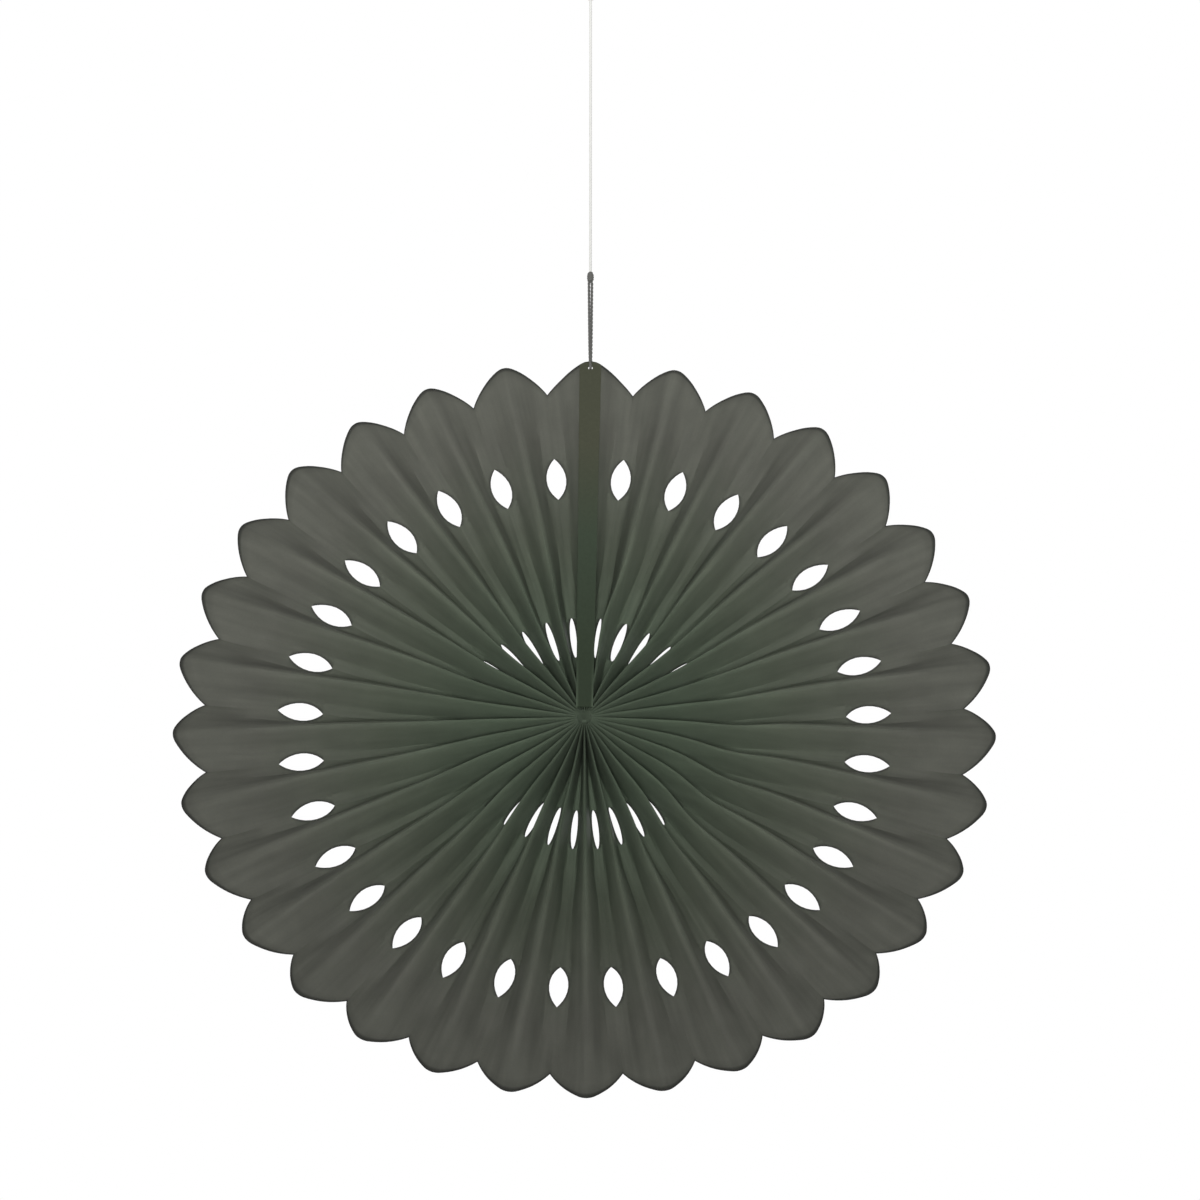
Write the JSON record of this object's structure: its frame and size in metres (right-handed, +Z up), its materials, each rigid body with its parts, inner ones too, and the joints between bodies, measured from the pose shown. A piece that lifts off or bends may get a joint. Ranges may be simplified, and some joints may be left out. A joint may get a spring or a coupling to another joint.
{
  "type": "paper fan medallion",
  "caption": "Round pleated paper fan medallion with petal edge, almond cut-outs and inner slits, joined by seam cards and hung by a knotted thread and string.",
  "frame": {"origin": "centre of the opened fan, half way between its front and back folds", "axes": "+Z up towards the seam and the string, +X to the right seen from the front, the front faces -Y"},
  "size_m": [0.3994, 0.0211, 0.6456],
  "materials": {
    "fan_paper": "matte",
    "seam_card": "matte",
    "grey_thread": "twisted thread",
    "white_string": "twisted string"
  },
  "bodies": {
    "root": {"pleated_fan": "fan_paper", "seam_card_back": "seam_card", "seam_card_front": "seam_card", "thread_loop": "grey_thread", "thread_knot": "grey_thread", "hanging_string": "white_string", "string_knot": "white_string", "hanging_loop": "white_string"}
  },
  "joints": []
}
